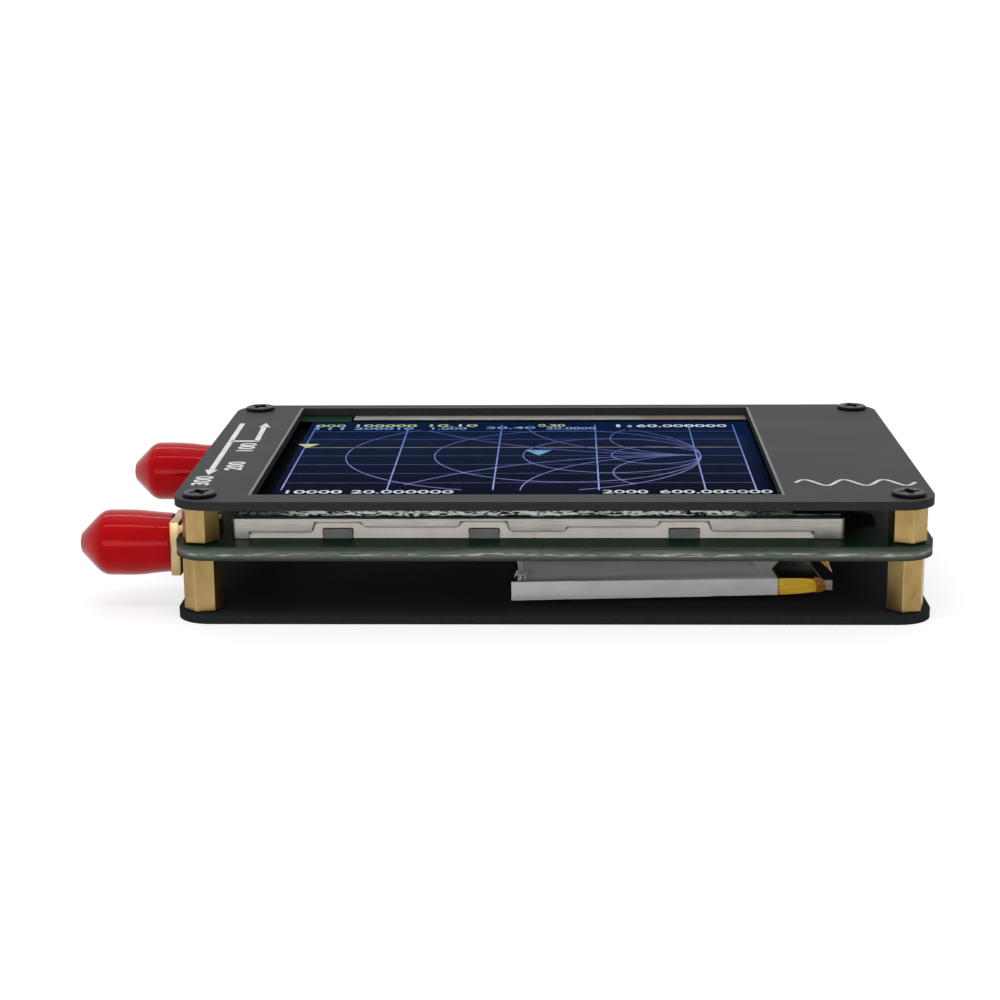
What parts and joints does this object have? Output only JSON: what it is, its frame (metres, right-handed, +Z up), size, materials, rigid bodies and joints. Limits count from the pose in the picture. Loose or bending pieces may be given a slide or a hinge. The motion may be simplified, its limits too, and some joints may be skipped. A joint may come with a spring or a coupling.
{
  "type": "antenna analyzer",
  "caption": "Pocket antenna analyzer: touch screen on a green board between two black plates on brass pillars, pouch battery, edge coax jacks with red dust caps, switches at the back.",
  "frame": {"origin": "centre of the bottom plate's underside, the base face", "axes": "+X along the long side, away from the coax jacks; +Y from the front long side to the back one, where the switches are; +Z up out of the screen"},
  "size_m": [0.0987, 0.0562, 0.0152],
  "materials": {
    "plate_black": "satin",
    "board_green": "semi-gloss",
    "pillar_brass": "satin",
    "screw_black": "satin",
    "cover_steel": "satin",
    "latch_grey": "matte",
    "tray_cream": "matte",
    "guide_clear": "gloss",
    "film_white": "matte",
    "tape_black": "matte",
    "cell_glass": "gloss",
    "polarizer_dark": "gloss",
    "touch_glass": "gloss",
    "chip_black": "matte",
    "ribbon_amber": "satin",
    "jack_gold": "gloss",
    "contact_gold": "gloss",
    "insulator_white": "matte",
    "cap_red": "semi-gloss",
    "pouch_silver": "satin",
    "pad_white": "matte",
    "tape_amber": "gloss",
    "lead_red": "satin",
    "lead_black": "satin",
    "solder": "satin",
    "shield_tin": "satin",
    "crystal_can": "satin",
    "inductor_grey": "matte",
    "capacitor_tan": "matte",
    "lamp_white": "gloss",
    "socket_steel": "satin",
    "plastic_black": "matte",
    "plastic_white": "matte",
    "switch_tin": "satin"
  },
  "bodies": {
    "chassis": {"bottom_plate": "plate_black", "top_plate": "plate_black", "main_board": "board_green", "lower_pillars": "pillar_brass", "upper_pillars": "pillar_brass", "top_screws": "screw_black", "bottom_screws": "screw_black", "screen_cover": "cover_steel", "tray_latches": "latch_grey", "backlight_tray": "tray_cream", "light_guide": "guide_clear", "backlight_films": "film_white", "glass_rim_tape": "tape_black", "screen_glass": "cell_glass", "polarizer": "polarizer_dark", "touch_rim_tape": "tape_black", "touch_panel": "touch_glass", "display_driver": "chip_black", "screen_ribbon": "ribbon_amber", "touch_ribbon": "ribbon_amber", "coax_jack_front": "jack_gold", "coax_jack_back": "jack_gold", "jack_insulators": "insulator_white", "jack_contacts": "contact_gold", "battery_pouch": "pouch_silver", "battery_pad": "pad_white", "guard_board": "board_green", "battery_tape": "tape_amber", "battery_lead_red": "lead_red", "battery_lead_black": "lead_black", "lead_joints": "solder", "tape_scrap": "tape_amber", "rf_shield": "shield_tin", "mixer_chips": "chip_black", "controller_chip": "chip_black", "codec_chip": "chip_black", "clock_chip": "chip_black", "crystals": "crystal_can", "charger_chip": "chip_black", "power_inductor": "inductor_grey", "capacitors": "capacitor_tan", "resistors": "chip_black", "status_lamps": "lamp_white", "socket_shell": "socket_steel", "socket_tongue": "plastic_black", "socket_contacts": "contact_gold", "power_switch_case": "switch_tin", "power_switch_base": "plastic_black", "lever_switch_case": "switch_tin", "lever_switch_base": "plastic_black"},
    "front_cap": {"dust_cap_front": "cap_red"},
    "back_cap": {"dust_cap_back": "cap_red"},
    "power_slider": {"power_slider": "plastic_black"},
    "lever_plunger": {"lever_plunger": "plastic_white"},
    "lever_arm": {"lever_arm": "plastic_black"}
  },
  "joints": [
    {"name": "front_cap_pull", "type": "slide", "parent": "chassis", "child": "front_cap", "axis": [-1, 0, 0], "range_m": [0, 0.012]},
    {"name": "back_cap_pull", "type": "slide", "parent": "chassis", "child": "back_cap", "axis": [-1, 0, 0], "range_m": [0, 0.012]},
    {"name": "power_slide", "type": "slide", "parent": "chassis", "child": "power_slider", "axis": [1, 0, 0], "range_m": [0, 0.002]},
    {"name": "lever_push", "type": "slide", "parent": "chassis", "child": "lever_plunger", "axis": [0, -1, 0], "range_m": [0, 0.0004], "stiffness_N_per_m": 400},
    {"name": "lever_tilt", "type": "hinge", "parent": "lever_plunger", "child": "lever_arm", "pos_m": [0.03, 0.0244, 0], "axis": [0, 0, 1], "range_deg": [-12, 12], "stiffness_Nm_per_rad": 0.01}
  ]
}
